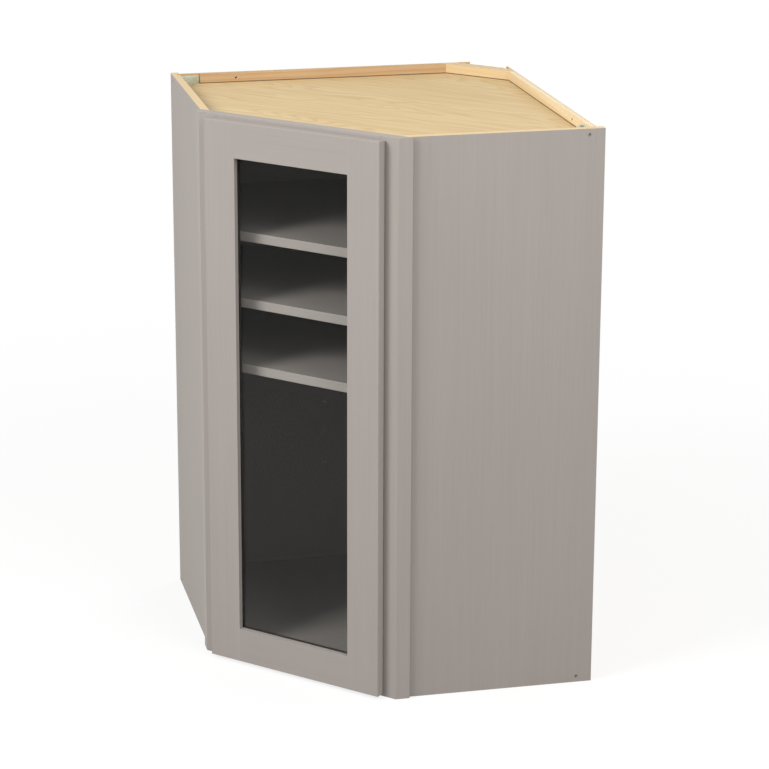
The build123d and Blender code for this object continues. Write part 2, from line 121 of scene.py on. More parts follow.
# width and strength of the edges' wear and painted highlight
RUB_AND_HIGHLIGHT_WIDTH = 0.9 * MM
RUB_AND_HIGHLIGHT_STRENGTH = 0.16
RABBET_SHARE = 0.8                   # of the rabbet's own colour over the maple's
SEAM_SHADE_WIDTH = 2.6 * MM
SEAM_SHADE_CORE = 0.35 * SEAM_SHADE_WIDTH        # the part of the painted shade line that is dark throughout
SEAM_SHADE_STRENGTH = 0.9
THICK_PLY = 13 * MM                  # plywood above this has nine layers, and seven below
GLASS_IOR = 1.45
GLASS_GLARE = 0.16                   # share of the pane's own glare that the photograph shows

# Eased edges
FRAME_EASE = 0.5 * MM
PANEL_EASE = 0.35 * MM
SHELF_EASE = 0.8 * MM
NAILER_EASE = 0.5 * MM

# Places on the cabinet, in metres
FACE_CENTRE = Vector((190.5, -190.5, 0.0)) * MM    # on the face frame's front, at its foot
TONGUE = 3.2 * MM                    # left by the backs' rabbets
HOLE_ALONG_WALL = 211.1 * MM         # of the hanging holes, from the cabinet's middle
HOLE_FROM_RIM = 9.3 * MM
HOLE_REACH = 2.3 * MM                # takes in the whole wall of a hanging hole

# Screws, in metres
HEAD_RADIUS = 3.2 * MM
SHAFT_RADIUS = 1.7 * MM
PAN_HEIGHT = 1.6 * MM
SUNK_HEIGHT = 2.2 * MM
CUP_SCREW_LENGTH = 11.0 * MM
ARM_SCREW_LENGTH = 13.0 * MM
BRACE_SCREW_LENGTH = 22.0 * MM
CROWN = 0.45                         # share of a head's height that is rounded off
POINT = 0.12                         # width of the tip's end, as a share of the shaft's
SLOT_LENGTH = 1.15 * HEAD_RADIUS
SLOT_WIDTH = 0.26 * HEAD_RADIUS
SLOT_HEIGHT = 1.1                    # as a share of the head's height, half of it above
RECESS_REACH = 1.95 * MM             # from a painted-over head's middle
RECESS_FADE = (0.1 * MM, 0.3 * MM)   # depths between which the paint ends in the recess
PAINTED_DEPTH = 2.0 * MM             # of a painted-over screw, from its seat

# The screws' places, in millimetres: across, inwards and up for those in the face frame's axes
HINGE_LEVELS = (106.0, 533.4, 960.8)
CUP_SCREW_ACROSS = -168.496
CUP_SCREW_INWARDS = -1.3
CUP_SCREW_STEP = 23.0
ARM_SCREW_ACROSS = -175.426
ARM_SCREW_INWARDS = 9.5
ARM_SCREW_STEP = 16.0
BRACE_SCREW_LEVELS = (11.5, 1055.3)
BRACE_SCREW_SEAT = 334.55
BRACE_SCREW_OFF_WALL = 313.4
SCREW_TURNS = (0.3, 1.1, 0.7, 0.0, 1.4, 0.5)    # of the recesses, in radians

# Camera, fitted to the photograph's corners. Its angles are in degrees.
CAMERA_PLACE = (4.8162, -1.1027, 2.0639)
CAMERA_AZIMUTH = 77.67
CAMERA_ELEVATION = 16.34
CAMERA_LENS = 125.49
CAMERA_SHIFT = (0.0447, -0.0702)
SENSOR = 36.0

# Light
SKY_STRENGTH = 0.47
LAMPS = (                            # azimuth and elevation in degrees, metres, metres, watts
    ("key", 25, 34, 4.4, 1.5, 107.0),
    ("side", 111, 33, 3.0, 1.6, 33.0),
    ("back", 225, 20, 3.6, 2.4, 26.0),
)

# Floor
FLOOR_RADIUS = 60.0
FLOOR_DROP = 0.4 * MM
FLOOR_FADE = (0.8, 2.6)              # shadows fade out between these distances, in metres
FLOOR_GLOW = 0.8                     # share of the floor's white that takes no shadow
FLOOR_WHITE = 1.06                   # above 1, because the light falls just short of white
FLOOR_BOUNCE = 0.36


def linear(colour):
    channels = [c / 255 for c in colour]
    bent = [c / 12.92 if c <= 0.04045 else ((c + 0.055) / 1.055) ** 2.4 for c in channels]
    return (*bent, 1.0)


def gray(value):
    return (value, value, value, 1)


def darker(colour, share):
    return tuple(c * share for c in colour)


def deselect():
    bpy.ops.object.select_all(action="DESELECT")


# ---------------------------------------------------------------- node building


def place(tree, kind, inputs=None, **settings):
    """A shader node with its settings, and each input set to a value or linked to a socket."""
    node = tree.nodes.new("ShaderNode" + kind)
    for name, value in settings.items():
        setattr(node, name, value)
    for socket, value in (inputs or {}).items():
        if isinstance(value, bpy.types.NodeSocket):
            tree.links.new(value, node.inputs[socket])
        else:
            node.inputs[socket].default_value = value
    return node


def maths(tree, operation, first, second=0.0, clamp=False):
    node = place(tree, "Math", {0: first, 1: second}, operation=operation, use_clamp=clamp)
    return node.outputs[0]


def folded(tree, operation, values):
    """One value from several, such as their sum or the least of them."""
    result = values[0]
    for value in values[1:]:
        result = maths(tree, operation, result, value)
    return result


def swing(tree, value, middle, amount):
    """How far a value lies above a middle, times an amount."""
    return maths(tree, "MULTIPLY", maths(tree, "SUBTRACT", value, middle), amount)


def vector_maths(tree, operation, first, second=(0, 0, 0)):
    node = place(tree, "VectorMath", {0: first, 1: second}, operation=operation)
    return node.outputs["Value" if operation in ("LENGTH", "DOT_PRODUCT") else "Vector"]


def axes_of(tree, vector):
    return place(tree, "SeparateXYZ", {0: vector}).outputs


def blended(tree, amount, first, second):
    node = place(tree, "Mix", {"Factor": amount, 6: first, 7: second}, data_type="RGBA")
    return node.outputs[2]


def mixed_value(tree, amount, first, second):
    node = place(tree, "Mix", {"Factor": amount, 2: first, 3: second}, data_type="FLOAT")
    return node.outputs[0]


def between(tree, value, start, end, low=0.0, high=1.0):
    """Value from start..end taken smoothly to low..high."""
    node = place(
        tree,
        "MapRange",
        {"Value": value, "From Min": start, "From Max": end, "To Min": low, "To Max": high},
        interpolation_type="SMOOTHSTEP",
    )
    return node.outputs[0]


def mapped(tree, vector, scale=(1, 1, 1), location=(0, 0, 0), rotation=(0, 0, 0)):
    inputs = {"Vector": vector, "Location": location, "Rotation": rotation, "Scale": scale}
    return place(tree, "Mapping", inputs, vector_type="POINT").outputs[0]


def noise(tree, vector, scale, detail=2.0, roughness=0.5):
    """Noise of one scale, or of one for each axis."""
    if isinstance(scale, tuple):
        vector, scale = mapped(tree, vector, scale), 1.0
    inputs = {"Vector": vector, "Scale": scale, "Detail": detail, "Roughness": roughness}
    return place(tree, "TexNoise", inputs).outputs["Fac"]


def new_group(name, inputs, outputs):
    """A node group with its inputs, each (name, kind, default), and outputs, each (name, kind)."""
    group = bpy.data.node_groups.new(name, "ShaderNodeTree")
    for socket_name, kind, default in inputs:
        socket = group.interface.new_socket(
            socket_name, in_out="INPUT", socket_type="NodeSocket" + kind
        )
        if default is not None:
            socket.default_value = default
    for socket_name, kind in outputs:
        group.interface.new_socket(
            socket_name, in_out="OUTPUT", socket_type="NodeSocket" + kind
        )
    given = group.nodes.new("NodeGroupInput").outputs
    result = group.nodes.new("NodeGroupOutput")
    return group, given, result


def put_out(group, result, **sockets):
    for name, socket in sockets.items():
        group.links.new(socket, result.inputs[name])


def use(tree, group, inputs):
    return place(tree, "Group", inputs, node_tree=group).outputs


# ---------------------------------------------------------------- shared effects


def make_timber_group():
    """Sawn or sliced wood with its grain along X: growth lines, fibres and short flecks."""
    group, given, result = new_group(
        "timber",
        [
            ("Vector", "Vector", None),
            ("Pale", "Color", (1, 1, 1, 1)),
            ("Dark", "Color", (0, 0, 0, 1)),
            ("Figure", "Float", 0.4),
            ("Ring Width", "Float", 0.02),
            ("Contours", "Float", 0.1),
            ("Fibre", "Float", 0.3),
        ],
        [("Color", "Color"), ("Roughness", "Float"), ("Height", "Float")],
    )
    vector = given["Vector"]
    slope = noise(group, vector, (1.3, 6.5, 6.5), 2.0, 0.45)
    heart = mapped(group, vector, (0.05, 1.0, 1.0))
    distance = vector_maths(group, "LENGTH", heart)
    field = maths(group, "ADD", distance, maths(group, "MULTIPLY", slope, given["Contours"]))
    jitter = noise(group, vector, (6.0, 60.0, 60.0))
    field = maths(group, "ADD", field, maths(group, "MULTIPLY", jitter, 0.004))
    phase = maths(group, "FRACT", maths(group, "DIVIDE", field, given["Ring Width"]))
    rise = between(group, phase, 0.35, 0.94)
    fall = between(group, phase, 0.94, 1.0, 1.0, 0.0)
    rings = maths(group, "MULTIPLY", rise, fall)
    fibres = noise(group, vector, (14.0, 620.0, 620.0), 3.0, 0.65)
    streaks = noise(group, vector, (2.2, 90.0, 90.0), 4.0, 0.6)
    patches = noise(group, vector, (2.5, 7.0, 7.0))
    flecks = noise(group, vector, (90.0, 1100.0, 1100.0), 1.0)
    lines_and_fibres = [
        maths(group, "MULTIPLY", rings, given["Figure"]),
        swing(group, fibres, 0.4, given["Fibre"]),
        swing(group, streaks, 0.36, given["Fibre"]),
    ]
    tone = folded(group, "ADD", lines_and_fibres)
    tone = maths(group, "ADD", tone, swing(group, patches, 0.32, 0.45), clamp=True)
    body = blended(group, tone, given["Pale"], given["Dark"])
    fleck_mask = between(group, flecks, 0.66, 0.78)
    colour = blended(group, maths(group, "MULTIPLY", fleck_mask, 0.4), body, given["Dark"])
    height = maths(group, "SUBTRACT", fibres, maths(group, "MULTIPLY", rings, 0.3))
    roughness = between(group, tone, 0.0, 1.0, 0.52, 0.66)
    put_out(group, result, Color=colour, Roughness=roughness, Height=height)
    return group


def make_ply_group():
    """The layered edge of plywood. X runs along the edge and Y from 0 to 1 across the layers."""
    group, given, result = new_group(
        "ply_layers",
        [
            ("Vector", "Vector", None),
            ("Pale", "Color", (1, 1, 1, 1)),
            ("Dark", "Color", (0, 0, 0, 1)),
            ("Layers", "Float", 9.0),
        ],
        [("Color", "Color"), ("Height", "Float")],
    )
    vector = given["Vector"]
    wobble = noise(group, vector, (9.0, 1.0, 1.0))
    across = axes_of(group, vector)[1]
    waved = maths(group, "ADD", across, maths(group, "MULTIPLY", wobble, 0.03))
    step = maths(group, "MULTIPLY", waved, given["Layers"])
    odd = maths(group, "PINGPONG", step, 1.0)
    band = between(group, odd, 0.4, 0.6)
    end_grain = noise(group, vector, (700.0, 60.0, 1.0), 2.0, 0.7)
    pits = maths(group, "MULTIPLY", end_grain, maths(group, "ADD", band, 0.25))
    from_glue = maths(group, "ABSOLUTE", maths(group, "SUBTRACT", odd, 0.5))
    glue = between(group, from_glue, 0.0, 0.09, 1.0, 0.0)
    darker_layers = maths(group, "MULTIPLY", band, 0.42)
    tone = maths(group, "ADD", darker_layers, maths(group, "MULTIPLY", pits, 0.4))
    tone = maths(group, "ADD", tone, maths(group, "MULTIPLY", glue, 0.5), clamp=True)
    colour = blended(group, tone, given["Pale"], given["Dark"])
    height = maths(group, "SUBTRACT", 1.0, pits)
    put_out(group, result, Color=colour, Height=height)
    return group


def make_paint_group():
    """Sprayed satin paint over wood: fine streaks along X, soft mottling and orange peel."""
    group, given, result = new_group(
        "satin_paint",
        [
            ("Vector", "Vector", None),
            ("Color", "Color", (1, 1, 1, 1)),
            ("Worn And Lit Color", "Color", (1, 1, 1, 1)),
            ("Edges", "Float", 0.0),
        ],
        [("Color", "Color"), ("Roughness", "Float"), ("Height", "Float")],
    )
    vector = given["Vector"]
    streaks = noise(group, vector, (4.0, 240.0, 240.0), 3.0, 0.6)
    bands = noise(group, vector, (1.1, 26.0, 26.0), 3.0, 0.6)
    clouds = noise(group, vector, 3.0)
    peel = noise(group, vector, 520.0, 2.0, 0.6)
    mottling = [
        swing(group, streaks, 0.5, 0.12),
        swing(group, bands, 0.5, 0.07),
        swing(group, clouds, 0.5, 0.07),
    ]
    value = maths(group, "ADD", folded(group, "ADD", mottling), 1.0)
    body = place(group, "HueSaturation", {"Value": value, "Color": given["Color"]}).outputs[0]
    # the edges lighter, as worn paint and painted highlight
    colour = blended(group, given["Edges"], body, given["Worn And Lit Color"])
    roughness = maths(group, "ADD", maths(group, "MULTIPLY", bands, 0.14), 0.46)
    smoother = maths(group, "MULTIPLY", given["Edges"], 0.08)
    roughness = maths(group, "SUBTRACT", roughness, smoother)
    height = maths(group, "ADD", maths(group, "MULTIPLY", streaks, 0.5), peel)
    put_out(group, result, Color=colour, Roughness=roughness, Height=height)
    return group


def make_edge_group():
    """How near a point on a box is to one of the box's edges: 1 on the edge, 0 past the width."""
    group, given, result = new_group(
        "edge_rub_and_highlight",
        [
            ("Vector", "Vector", None),
            ("Low", "Vector", None),
            ("High", "Vector", None),
            ("Width", "Float", 0.002),
        ],
        [("Mask", "Float")],
    )
    from_low = vector_maths(group, "SUBTRACT", given["Vector"], given["Low"])
    from_high = vector_maths(group, "SUBTRACT", given["High"], given["Vector"])
    x, y, z = axes_of(group, vector_maths(group, "MINIMUM", from_low, from_high))
    smaller = maths(group, "MINIMUM", x, y)
    larger = maths(group, "MAXIMUM", x, y)
    second = maths(group, "MAXIMUM", smaller, maths(group, "MINIMUM", larger, z))
    ragged = noise(group, given["Vector"], 130.0, 3.0, 0.6)
    width = maths(group, "MULTIPLY", given["Width"], maths(group, "ADD", ragged, 0.4))
    near = maths(group, "DIVIDE", second, width)
    put_out(group, result, Mask=between(group, near, 0.0, 1.0, 1.0, 0.0))
    return group


def make_plane_group():
    """1 on the plane that lies at Distance along Normal, 0 away from it."""
    group, given, result = new_group(
        "on_plane",
        [
            ("Vector", "Vector", None),
            ("Normal", "Vector", None),
            ("Distance", "Float", 0.0),
        ],
        [("Mask", "Float")],
    )
    along = vector_maths(group, "DOT_PRODUCT", given["Vector"], given["Normal"])
    gap = maths(group, "ABSOLUTE", maths(group, "SUBTRACT", along, given["Distance"]))
    put_out(group, result, Mask=maths(group, "LESS_THAN", gap, SKIN))
    return group


timber = make_timber_group()
ply_layers = make_ply_group()
satin_paint = make_paint_group()
edge_rub_and_highlight = make_edge_group()
on_plane = make_plane_group()


# ---------------------------------------------------------------- places on a node


def box_in(node, turned=False):
    """Lowest and highest corner of a node, in the row's axes or in those of the face frame."""
    points = [v.co.copy() for v in nodes[node].data.vertices]
    if turned:
        spin = Matrix.Rotation(TURN, 3, "Z")
        points = [spin @ p for p in points]
    low = Vector([min(p[k] for p in points) for k in range(3)])
    high = Vector([max(p[k] for p in points) for k in range(3)])
    return low, high


def end_plane(node, outward, inset=0.0):
    """The plane in which a node ends towards a direction, or one behind it: normal, distance."""
    reach = max(v.co.dot(Vector(outward)) for v in nodes[node].data.vertices)
    return outward, reach - inset


def object_vector(tree, turned=False):
    vector = place(tree, "TexCoord").outputs["Object"]
    return mapped(tree, vector, rotation=(0, 0, TURN)) if turned else vector


def along_x(tree, vector, grain):
    """Turns a vector so that the grain's axis becomes X."""
    turns = {"X": (0, 0, 0), "Y": (0, 0, -math.pi / 2), "Z": (0, math.pi / 2, 0)}
    return mapped(tree, vector, rotation=turns[grain])


def plane_mask(tree, vector, planes):
    """1 on each of the planes, given as (normal, distance)."""
    masks = [
        use(tree, on_plane, {"Vector": vector, "Normal": normal, "Distance": distance})[0]
        for normal, distance in planes
    ]
    return folded(tree, "MAXIMUM", masks)


def reach_from_lines(tree, vector, across, side, levels):
    """Distance to the nearest of some lines along X or Y, at one side and some levels."""
    flatten = (0, 1, 1) if across == "X" else (1, 0, 1)
    flat = vector_maths(tree, "MULTIPLY", vector, flatten)
    gaps = []
    for level in levels:
        centre = (0, side, level) if across == "X" else (side, 0, level)
        gaps.append(vector_maths(tree, "LENGTH", vector_maths(tree, "SUBTRACT", flat, centre)))
    return folded(tree, "MINIMUM", gaps)


# ---------------------------------------------------------------- coats and cuts


def paint_coat(tree, vector, grain, colour, edges=0.0):
    return use(
        tree,
        satin_paint,
        {
            "Vector": along_x(tree, vector, grain),
            "Color": linear(colour),
            "Worn And Lit Color": linear(PAINT_RUBBED_AND_LIT),
            "Edges": edges,
        },
    )


# Worn paint and painted highlight along a board's edges.
def rubbed_and_lit_edges(tree, vector, node, turned=False):
    low, high = box_in(node, turned)
    inputs = {"Vector": vector, "Low": low, "High": high, "Width": RUB_AND_HIGHLIGHT_WIDTH}
    mask = use(tree, edge_rub_and_highlight, inputs)[0]
    return maths(tree, "MULTIPLY", mask, RUB_AND_HIGHLIGHT_STRENGTH)


def layered(tree, vector, node, across):
    """Plywood layers across a board that lies along the row's axes."""
    low, high = box_in(node)
    k = "XYZ".index(across)
    thickness = high[k] - low[k]
    axes = axes_of(tree, vector)
    share = maths(tree, "DIVIDE", maths(tree, "SUBTRACT", axes[k], low[k]), thickness)
    others = [axes[j] for j in range(3) if j != k]
    length = maths(tree, "ADD", *others)
    return use(
        tree,
        ply_layers,
        {
            "Vector": place(tree, "CombineXYZ", {0: length, 1: share, 2: 0.0}).outputs[0],
            "Pale": linear(PLY_PALE),
            "Dark": linear(PLY_DARK),
            "Layers": 9.0 if thickness > THICK_PLY else 7.0,
        },
    )


def sawn_wood(tree, vector, kind, grain, shift):
    """One of the WOODS. The shift picks the part of the log that a board shows."""
    pale, dark, figure, ring_width, contours, fibre = WOODS[kind]
    return use(
        tree,
        timber,
        {
            "Vector": mapped(tree, along_x(tree, vector, grain), location=shift),
            "Pale": linear(pale),
            "Dark": linear(dark),
            "Figure": figure,
            "Ring Width": ring_width,
            "Contours": contours,
            "Fibre": fibre,
        },
    )


def maple_or_paint(tree, maple, wood, paint):
    """Bare wood where the mask is 1 and matte paint elsewhere: colour, roughness and height."""
    colour = blended(tree, maple, paint["Color"], wood["Color"])
    matte = maths(tree, "ADD", paint["Roughness"], MATTE_ROUGHER)
    roughness = mixed_value(tree, maple, matte, wood["Roughness"])
    height = mixed_value(tree, maple, paint["Height"], wood["Height"])
    return colour, roughness, height


def hole_shaded(tree, vector, colour, across):
    """Paints shade on the walls of the two hanging holes, which run along X or Y."""
    side = -HOLE_ALONG_WALL if across == "X" else HOLE_ALONG_WALL
    levels = (bottom + HOLE_FROM_RIM, top - HOLE_FROM_RIM)
    reach = reach_from_lines(tree, vector, across, side, levels)
    inside = maths(tree, "LESS_THAN", reach, HOLE_REACH)
    return blended(tree, inside, colour, linear(HOLE_SHADE))


def seam_shaded(tree, vector, colour, levels):
    """Painted shade: a thin dark line where a board meets a deck, at each of the levels."""
    up = axes_of(tree, vector)[2]
    gaps = [maths(tree, "ABSOLUTE", maths(tree, "SUBTRACT", up, level)) for level in levels]
    reach = folded(tree, "MINIMUM", gaps)
    line = between(tree, reach, SEAM_SHADE_CORE, SEAM_SHADE_WIDTH, SEAM_SHADE_STRENGTH, 0.0)
    return blended(tree, line, colour, linear(SEAM_SHADE))


# ---------------------------------------------------------------- materials


def new_material(name):
    material = bpy.data.materials.new(name)
    material.use_nodes = True
    tree = material.node_tree
    tree.nodes.clear()
    return material, tree


def finish_surface(
    tree, colour, roughness, height, relief, gloss=PLAIN_GLOSS, metallic=0.0
):
    """The material's own shader, with bump from a height whose relief is in millimetres."""
    bump_inputs = {"Height": height, "Distance": relief * MM, "Strength": BUMP_STRENGTH}
    bump = place(tree, "Bump", bump_inputs)
    shader = place(
        tree,
        "BsdfPrincipled",
        {
            "Base Color": colour,
            "Roughness": roughness,
            "Metallic": metallic,
            "Specular IOR Level": gloss,
            "Normal": bump.outputs[0],
        },
    )
    place(tree, "OutputMaterial", {"Surface": shader.outputs[0]})


def painted(node, grain):
    """Painted board of the face frame or the door. Its brushed grain runs along one axis."""
    material, tree = new_material(node + "_paint")
    vector = object_vector(tree, turned=True)
    edges = rubbed_and_lit_edges(tree, vector, node, turned=True)
    paint = paint_coat(tree, vector, grain, PAINT, edges)
    colour, roughness, height = paint
    finish_surface(tree, colour, roughness, height, PAINT_RELIEF, PAINT_GLOSS)
    return material


def lit_and_shaded_shelf(node):
    """Matte faces in painted shade; an edge band lighter than the outside's paint, as painted
    light.
    """
    material, tree = new_material(node + "_lit_and_shaded_paint")
    vector = object_vector(tree)
    faces = plane_mask(tree, vector, [end_plane(node, DOWN), end_plane(node, UP)])
    band = paint_coat(tree, vector, "Y", SHELF_BAND_LIT, rubbed_and_lit_edges(tree, vector, node))
    face = paint_coat(tree, vector, "Y", PAINT_IN_SHADE)
    # painted light on the edge band, painted shade on the faces
    colour = blended(tree, faces, band["Color"], face["Color"])
    roughness = maths(tree, "ADD", band["Roughness"], SHELF_ROUGHER)
    finish_surface(tree, colour, roughness, band["Height"], PAINT_RELIEF, MATTE_GLOSS)
    return material


def painted_ply(name, node, across, inward, cut_edges):
    """Painted plywood side with bare cut edges, and a matte face in painted shade towards the
    shelves.
    """
    material, tree = new_material(name)
    vector = object_vector(tree)
    paint = paint_coat(tree, vector, "Z", PAINT, rubbed_and_lit_edges(tree, vector, node))
    layers = layered(tree, vector, node, across)
    bare = plane_mask(tree, vector, cut_edges)
    inside = plane_mask(tree, vector, [end_plane(node, inward)])
    # painted shade on the face towards the shelves
    coat = blended(tree, inside, paint["Color"], linear(PAINT_IN_SHADE))
    colour = blended(tree, bare, coat, layers["Color"])
    coat_roughness = mixed_value(tree, inside, paint["Roughness"], END_INSIDE_ROUGHNESS)
    roughness = mixed_value(tree, bare, coat_roughness, CUT_ROUGHNESS)
    height = mixed_value(tree, bare, paint["Height"], layers["Height"])
    finish_surface(tree, colour, roughness, height, PLY_RELIEF, END_GLOSS)
    return material


def back_ply(name, node, across, outward, cut_edges, shift, shade_holes=True):
    """Plywood back: maple outside, bare in the rabbet, matte paint in painted shade towards the
    shelves.
    """
    material, tree = new_material(name)
    vector = object_vector(tree)
    wood = sawn_wood(tree, vector, "back", "Z", shift)
    paint = paint_coat(tree, vector, "Z", PAINT_IN_SHADE)
    layers = layered(tree, vector, node, across)
    maple = plane_mask(tree, vector, [end_plane(node, outward)])
    rabbet = plane_mask(tree, vector, [end_plane(node, outward, TONGUE)])
    cut = plane_mask(tree, vector, cut_edges)
    inner_ply = blended(tree, RABBET_SHARE, wood["Color"], linear(RABBET))
    colour, roughness, height = maple_or_paint(tree, maple, wood, paint)
    colour = blended(tree, rabbet, colour, inner_ply)
    colour = blended(tree, cut, colour, layers["Color"])
    # painted shade on the walls of the hanging holes
    if shade_holes:
        colour = hole_shaded(tree, vector, colour, across)
    finish_surface(tree, colour, roughness, height, PLY_RELIEF, MATTE_GLOSS)
    return material


def deck_ply(node, outward, shift):
    """Top or bottom panel: bare maple on its hidden side, matte paint in painted shade towards the
    shelves.
    """
    material, tree = new_material(node + "_finish")
    vector = object_vector(tree)
    wood = sawn_wood(tree, object_vector(tree, turned=True), "deck", "X", shift)
    paint = paint_coat(tree, vector, "Y", PAINT_IN_SHADE)
    maple = plane_mask(tree, vector, [end_plane(node, outward)])
    colour, roughness, height = maple_or_paint(tree, maple, wood, paint)
    finish_surface(tree, colour, roughness, height, PLY_RELIEF, MATTE_GLOSS)
    return material


def nailer_wood(kind, grain, shift, seam_shade_levels, in_corner):
    """Bare wood strip with painted shade where it meets the deck. Unless it crosses the corner, it
    is drilled for the wall screws, with painted shade on the holes' walls.
    """
    material, tree = new_material(kind)
    vector = object_vector(tree, turned=in_corner)
    wood = sawn_wood(tree, vector, kind, grain, shift)
    # painted shade along the seams with the decks
    colour = seam_shaded(tree, vector, wood["Color"], seam_shade_levels)
    # painted shade on the walls of the hanging holes
    if not in_corner:
        colour = hole_shaded(tree, vector, colour, "X" if grain == "Y" else "Y")
    finish_surface(tree, colour, wood["Roughness"], wood["Height"], SAWN_RELIEF)
    return material


def clear_glass():
    """Float glass. Shadow and diffuse rays pass straight through, so light reaches the shelves."""
    material, tree = new_material("clear_glass")
    smears = noise(tree, object_vector(tree), (12.0, 12.0, 4.8), 3.0)
    shader = place(
        tree,
        "BsdfPrincipled",
        {
            "Base Color": linear(GLASS_TINT),
            "Roughness": between(tree, smears, 0.45, 0.8, 0.0, 0.02),
            "Transmission Weight": 1.0,
            "IOR": GLASS_IOR,
            "Specular Tint": gray(GLASS_GLARE),
        },
    )
    clear = place(tree, "BsdfTransparent", {"Color": linear(GLASS_TINT)})
    rays = place(tree, "LightPath").outputs
    through = maths(tree, "MAXIMUM", rays["Is Shadow Ray"], rays["Is Diffuse Ray"])
    mixed = place(tree, "MixShader", {0: through, 1: shader.outputs[0], 2: clear.outputs[0]})
    place(tree, "OutputMaterial", {"Surface": mixed.outputs[0]})
    return material


def plated_steel(name, colour, roughness):
    material, tree = new_material(name)
    vector = object_vector(tree)
    rub = noise(tree, vector, (220.0, 220.0, 30.0), 3.0, 0.6)
    clouds = noise(tree, vector, 60.0)
    tint = blended(tree, clouds, linear(colour), linear(darker(colour, 0.86)))
    rough = between(tree, rub, 0.2, 0.8, roughness - 0.08, roughness + 0.12)
    finish_surface(tree, tint, rough, rub, METAL_RELIEF, metallic=1.0)
    return material


def painted_over_screw():
    """Phosphated black screw whose head is painted with the panel, but not its recess."""
    material, tree = new_material("painted_over_screw")
    vector = object_vector(tree)
    spots = noise(tree, vector, 900.0, 3.0, 0.7)
    rubbed = between(tree, spots, 0.5, 0.8)
    steel = blended(tree, rubbed, linear(BLACK_STEEL), linear(BLACK_STEEL_RUBBED))
    levels = [level * MM for level in BRACE_SCREW_LEVELS]
    side = BRACE_SCREW_OFF_WALL * MM
    right = reach_from_lines(tree, vector, "X", side, levels)
    left = reach_from_lines(tree, vector, "Y", -side, levels)
    reach = maths(tree, "MINIMUM", right, left)
    x, y, _ = axes_of(tree, vector)
    outward = maths(tree, "MAXIMUM", x, maths(tree, "MULTIPLY", y, -1.0))
    depth = maths(tree, "SUBTRACT", BRACE_SCREW_SEAT * MM, outward)
    on_rim = maths(tree, "GREATER_THAN", reach, RECESS_REACH)
    near_top = between(tree, depth, *RECESS_FADE, 1.0, 0.0)
    on_head = maths(tree, "LESS_THAN", depth, PAINTED_DEPTH)
    covered = maths(tree, "MULTIPLY", maths(tree, "MAXIMUM", on_rim, near_top), on_head)
    colour = blended(tree, covered, steel, linear(PAINT))
    roughness = between(tree, spots, 0.3, 0.8, 0.62, 0.45)
    finish_surface(tree, colour, roughness, spots, METAL_RELIEF)
    return material


def moulded_plastic(name, colour, inside, roughness):
    material, tree = new_material(name)
    vector = object_vector(tree)
    flow = noise(tree, vector, (60.0, 60.0, 140.0), 3.0)
    grain = noise(tree, vector, 900.0)
    tint = blended(tree, between(tree, flow, 0.3, 0.75), linear(colour), linear(inside))
    rough = between(tree, flow, 0.2, 0.8, roughness - 0.06, roughness + 0.1)
    finish_surface(tree, tint, rough, grain, PLASTIC_RELIEF)
    return material


def dress(node, material):
    """Gives a CAD node its finish in every material slot."""
    materials = nodes[node].data.materials
    if not materials:
        materials.append(material)
    for k in range(len(materials)):
        materials[k] = material


# ---------------------------------------------------------------- shapes


def add_bevel(thing, width, segments=2):
    eased = thing.modifiers.new("eased", "BEVEL")
    eased.width = width
    eased.segments = segments
    eased.limit_method = "ANGLE"
    eased.angle_limit = SHARP


def ease_edges(node, width):
    """Rounds a board's edges as sanding does, once its triangles are joined and flattened."""
    board = nodes[node]
    joined = board.modifiers.new("joined", "WELD")
    joined.merge_threshold = JOIN_DISTANCE
    flat = board.modifiers.new("flat", "DECIMATE")
    flat.decimate_type = "DISSOLVE"
    flat.angle_limit = BOARD_FLAT
    add_bevel(board, width)


def finish_piece(piece, name, body, node, material):
    piece.name = name
    piece.data.name = name
    piece.data.materials.clear()
    piece.data.materials.append(material)
    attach(piece, body)
    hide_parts(node)


def rounded_copy(node, name, body, material, width, segments):
    """Stands for a small CAD part: its shape with joined faces, eased edges and smooth rounds."""
    deselect()
    piece = bpy.data.objects.new(name, nodes[node].data.copy())
    bpy.context.scene.collection.objects.link(piece)
    piece.select_set(True)
    bpy.context.view_layer.objects.active = piece
    bpy.ops.object.mode_set(mode="EDIT")
    bpy.ops.mesh.select_all(action="SELECT")
    bpy.ops.mesh.remove_doubles(threshold=JOIN_DISTANCE)
    bpy.ops.mesh.dissolve_limited(angle_limit=SMALL_FLAT)
    bpy.ops.object.mode_set(mode="OBJECT")
    add_bevel(piece, width, segments)
    bpy.ops.object.modifier_apply(modifier="eased")
    bpy.ops.object.shade_smooth_by_angle(angle=SMOOTH)
    finish_piece(piece, name, body, node, material)


def select_where(mesh_object, kind, test):
    """In edit mode, selects the edges or the faces that pass the test."""
    mesh = bmesh.from_edit_mesh(mesh_object.data)
    bpy.ops.mesh.select_all(action="DESELECT")
    bpy.ops.mesh.select_mode(type=kind)
    for part in mesh.edges if kind == "EDGE" else mesh.faces:
        part.select_set(test(part))
    bmesh.update_edit_mesh(mesh_object.data)


def cut_recess(screw, level, head_height):
    """Cuts a cross into the head, one slot at a time."""
    for angle in (0, math.pi / 2):
        deselect()
        bpy.ops.mesh.primitive_cube_add(size=1, location=(0, 0, level))
        slot = bpy.context.object
        slot.scale = (SLOT_LENGTH, SLOT_WIDTH, head_height * SLOT_HEIGHT)
        slot.rotation_euler = (0, 0, angle)
        bpy.ops.object.transform_apply(location=True, rotation=True, scale=True)
        cut = screw.modifiers.new("recess", "BOOLEAN")
        cut.object = slot
        cut.operation = "DIFFERENCE"
        deselect()
        screw.select_set(True)
        bpy.context.view_layer.objects.active = screw
        bpy.ops.object.modifier_apply(modifier="recess")
        bpy.data.objects.remove(slot)


